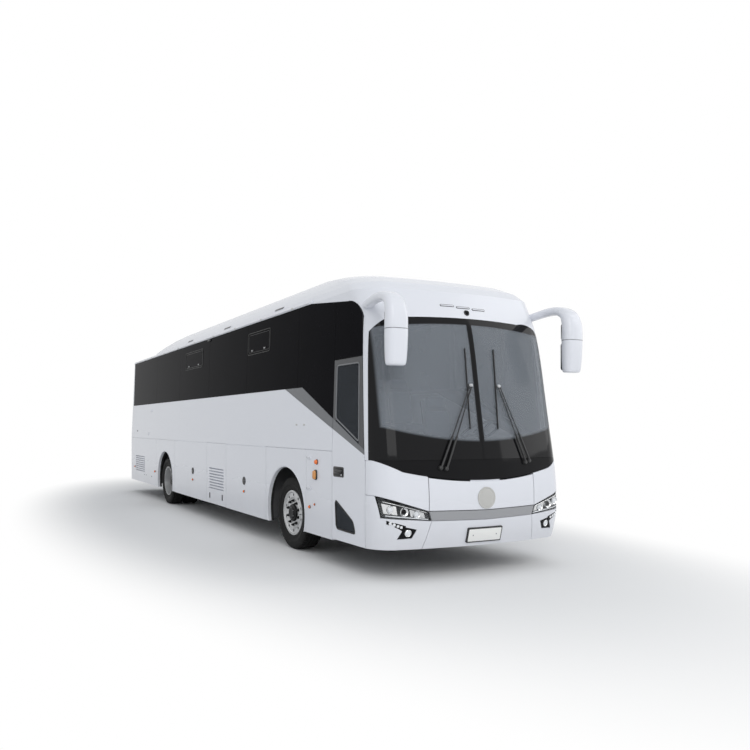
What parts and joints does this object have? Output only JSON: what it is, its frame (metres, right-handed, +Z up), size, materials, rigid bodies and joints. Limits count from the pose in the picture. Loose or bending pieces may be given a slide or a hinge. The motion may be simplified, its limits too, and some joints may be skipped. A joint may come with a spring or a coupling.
{
  "type": "electric coach bus",
  "caption": "White two-axle electric coach with a dark glass band, hinged passenger door, lifting luggage flaps, roof pod and hanging mirrors, with steered front wheels.",
  "frame": {"origin": "on the ground under the middle of the bounding box", "axes": "+X forward, +Y to the left, +Z up"},
  "size_m": [12.1288, 2.6092, 3.4899],
  "materials": {
    "white_paint": "gloss",
    "black_panel": "gloss",
    "silver_trim": "satin",
    "glass_dark": "gloss",
    "glass_clear": "gloss",
    "frame_grey": "matte",
    "floor_grey": "matte",
    "chassis_black": "satin",
    "rubber": "matte",
    "alloy": "polished",
    "lamp": "gloss",
    "lamp_red": "gloss",
    "seat_cloth": "matte",
    "trim_black": "matte",
    "battery_grey": "matte"
  },
  "bodies": {
    "coach": {"waist_panels": "white_paint", "side_stripes": "silver_trim", "entry_panels": "white_paint", "arch_panels": "white_paint", "service_panels": "white_paint", "window_frames": "frame_grey", "side_glass": "glass_dark", "windscreen": "glass_clear", "screen_divider": "black_panel", "wiper_panel": "black_panel", "front_corners": "white_paint", "front_strip": "silver_trim", "headlamps": "lamp", "fog_lamps": "black_panel", "bumper_middle": "white_paint", "bumper_corners": "white_paint", "roof_cap": "white_paint", "roof_panel": "white_paint", "roof_pod": "white_paint", "rear_wall": "white_paint", "tail_lamps": "lamp_red", "rear_window": "glass_dark", "rear_bumper": "white_paint", "floor_deck": "floor_grey", "entrance_steps": "floor_grey", "luggage_bay": "floor_grey", "wheel_housings": "chassis_black", "underframe": "chassis_black", "front_axle": "chassis_black", "rear_axle": "chassis_black", "air_springs": "rubber", "traction_motor": "battery_grey", "battery_pack": "battery_grey", "seats_right": "seat_cloth", "seats_left": "seat_cloth", "driver_seat": "seat_cloth", "dashboard": "trim_black", "mirrors": "white_paint", "wipers": "trim_black"},
    "passenger_door": {"passenger_door": "white_paint", "door_glass": "glass_clear"},
    "door_arm": {"door_arm": "chassis_black"},
    "luggage_flap_front_right": {"luggage_flap_front_right": "white_paint"},
    "luggage_flap_front_left": {"luggage_flap_front_left": "white_paint"},
    "luggage_flap_rear_right": {"luggage_flap_rear_right": "white_paint"},
    "luggage_flap_rear_left": {"luggage_flap_rear_left": "white_paint"},
    "front_flap": {"front_flap": "white_paint"},
    "motor_door": {"motor_door": "white_paint"},
    "steering_wheel": {"steering_wheel": "trim_black"},
    "knuckle_right": {"knuckle_right": "chassis_black"},
    "knuckle_left": {"knuckle_left": "chassis_black"},
    "track_rod": {"track_rod": "chassis_black"},
    "wheel_front_right": {"tyre_front_right": "rubber", "rim_front_right": "alloy"},
    "wheel_front_left": {"tyre_front_left": "rubber", "rim_front_left": "alloy"},
    "wheel_rear_right": {"tyres_rear_right": "rubber", "rims_rear_right": "alloy"},
    "wheel_rear_left": {"tyres_rear_left": "rubber", "rims_rear_left": "alloy"}
  },
  "joints": [
    {"name": "steer_right", "type": "hinge", "parent": "coach", "child": "knuckle_right", "pos_m": [3.45, -0.88, 0.48], "axis": [0, 0, 1], "range_deg": [-40, 40]},
    {"name": "steer_left", "type": "hinge", "parent": "coach", "child": "knuckle_left", "pos_m": [3.45, 0.88, 0.48], "axis": [0, 0, 1], "range_deg": [-40, 40]},
    {"name": "track_rod_pivot", "type": "hinge", "parent": "knuckle_right", "child": "track_rod", "pos_m": [3.2, -0.88, 0.34], "axis": [0, 0, 1], "range_deg": [-40, 40]},
    {"name": "steering_wheel_turn", "type": "hinge", "parent": "coach", "child": "steering_wheel", "pos_m": [5.04, 0.64, 1.56], "axis": [-0.5299, 0, 0.848], "range_deg": [-720, 720]},
    {"name": "wheel_front_right_spin", "type": "hinge", "parent": "knuckle_right", "child": "wheel_front_right", "pos_m": [3.45, -1.05, 0.479], "axis": [0, 1, 0], "continuous": true},
    {"name": "wheel_front_left_spin", "type": "hinge", "parent": "knuckle_left", "child": "wheel_front_left", "pos_m": [3.45, 1.05, 0.479], "axis": [0, 1, 0], "continuous": true},
    {"name": "wheel_rear_right_spin", "type": "hinge", "parent": "coach", "child": "wheel_rear_right", "pos_m": [-2.65, -1.085, 0.479], "axis": [0, 1, 0], "continuous": true},
    {"name": "wheel_rear_left_spin", "type": "hinge", "parent": "coach", "child": "wheel_rear_left", "pos_m": [-2.65, 1.085, 0.479], "axis": [0, 1, 0], "continuous": true},
    {"name": "door_swing", "type": "hinge", "parent": "coach", "child": "door_arm", "pos_m": [5.38, -1.19, 1], "axis": [0, 0, 1], "range_deg": [0, 125]},
    {"name": "door_turn", "type": "hinge", "parent": "door_arm", "child": "passenger_door", "pos_m": [4.93, -1.19, 1], "axis": [0, 0, 1], "range_deg": [-125, 0]},
    {"name": "flap_front_right_lift", "type": "hinge", "parent": "coach", "child": "luggage_flap_front_right", "pos_m": [1.96, -1.267, 1.34], "axis": [-1, 0, 0], "range_deg": [0, 85]},
    {"name": "flap_front_left_lift", "type": "hinge", "parent": "coach", "child": "luggage_flap_front_left", "pos_m": [1.96, 1.267, 1.34], "axis": [1, 0, 0], "range_deg": [0, 85]},
    {"name": "flap_rear_right_lift", "type": "hinge", "parent": "coach", "child": "luggage_flap_rear_right", "pos_m": [-0.88, -1.267, 1.34], "axis": [-1, 0, 0], "range_deg": [0, 85]},
    {"name": "flap_rear_left_lift", "type": "hinge", "parent": "coach", "child": "luggage_flap_rear_left", "pos_m": [-0.88, 1.267, 1.34], "axis": [1, 0, 0], "range_deg": [0, 85]},
    {"name": "front_flap_lift", "type": "hinge", "parent": "coach", "child": "front_flap", "pos_m": [5.912, 0, 1.045], "axis": [0, -1, 0], "range_deg": [0, 75]},
    {"name": "motor_door_lift", "type": "hinge", "parent": "coach", "child": "motor_door", "pos_m": [-6.03708, 0, 1.64], "axis": [0, 1, 0], "range_deg": [0, 80]}
  ],
  "couplings": [
    {"joint": "steer_left", "follows": "steer_right", "ratio": 1},
    {"joint": "track_rod_pivot", "follows": "steer_right", "ratio": -1},
    {"joint": "steering_wheel_turn", "follows": "steer_right", "ratio": 18},
    {"joint": "door_turn", "follows": "door_swing", "ratio": -1}
  ]
}
